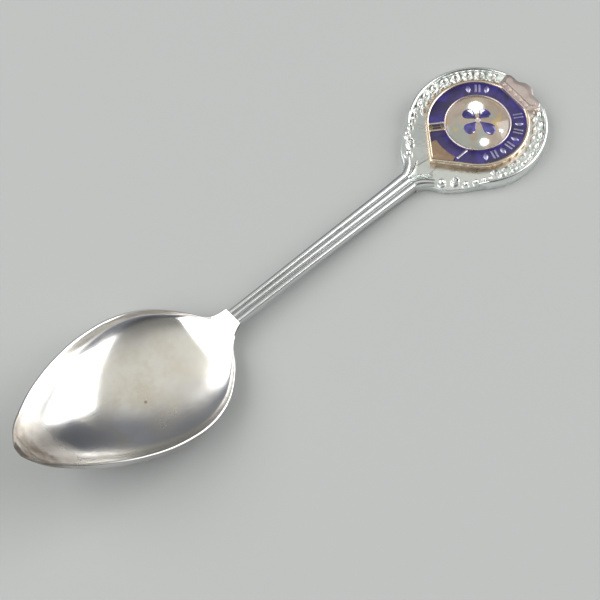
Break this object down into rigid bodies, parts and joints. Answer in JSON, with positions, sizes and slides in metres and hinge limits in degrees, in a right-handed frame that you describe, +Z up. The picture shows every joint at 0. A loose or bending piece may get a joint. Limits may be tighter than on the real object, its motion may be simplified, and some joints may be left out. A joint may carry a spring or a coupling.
{
  "type": "souvenir spoon",
  "caption": "Souvenir spoon with a pointed oval bowl, a three-reed stem and a round beaded head carrying a domed enamel badge with a small coronet.",
  "frame": {"origin": "centre of the bounding box on the table plane, under the middle of the stem", "axes": "+X along the spoon from the bowl's tip to the head, +Z up through the open side of the bowl and the face of the badge, +Y to the spoon's left seen from the bowl's tip"},
  "size_m": [0.1124, 0.0266, 0.0154],
  "materials": {
    "silver_bowl": "polished silver with a worn, slightly yellowed patina inside",
    "silver_stem": "polished silver, grey in the grooves",
    "silver_head": "struck silver, polished on the high spots and grey in the recesses",
    "gilt": "worn gilt and copper edges",
    "copper_enamel": "translucent copper-brown enamel",
    "blue_enamel": "glossy deep blue enamel",
    "cream_enamel": "glossy cream enamel, domed",
    "rose_enamel": "glossy pale rose enamel",
    "copper_frame": "worn coppery gilt",
    "pearl": "pale rose enamel drops"
  },
  "bodies": {
    "root": {"bowl": "silver_bowl", "stem": "silver_stem", "head_plate": "silver_head", "fork_reed_left": "silver_head", "fork_reed_right": "silver_head", "outer_bead_line": "silver_head", "outer_bead_row": "silver_head", "leaf_row": "silver_head", "scroll_left": "silver_head", "scroll_right": "silver_head", "badge_base": "gilt", "badge_edge": "gilt", "inner_ring": "gilt", "band_ornaments": "gilt", "buckle_frame": "gilt", "buckle_tongue": "gilt", "keeper_loop": "gilt", "strap_tail": "copper_enamel", "band_enamel": "blue_enamel", "flower_petals": "blue_enamel", "centre_field": "cream_enamel", "flower_centre": "rose_enamel", "coronet_enamel": "rose_enamel", "coronet_frame": "copper_frame", "coronet_pearls": "pearl"}
  },
  "joints": []
}
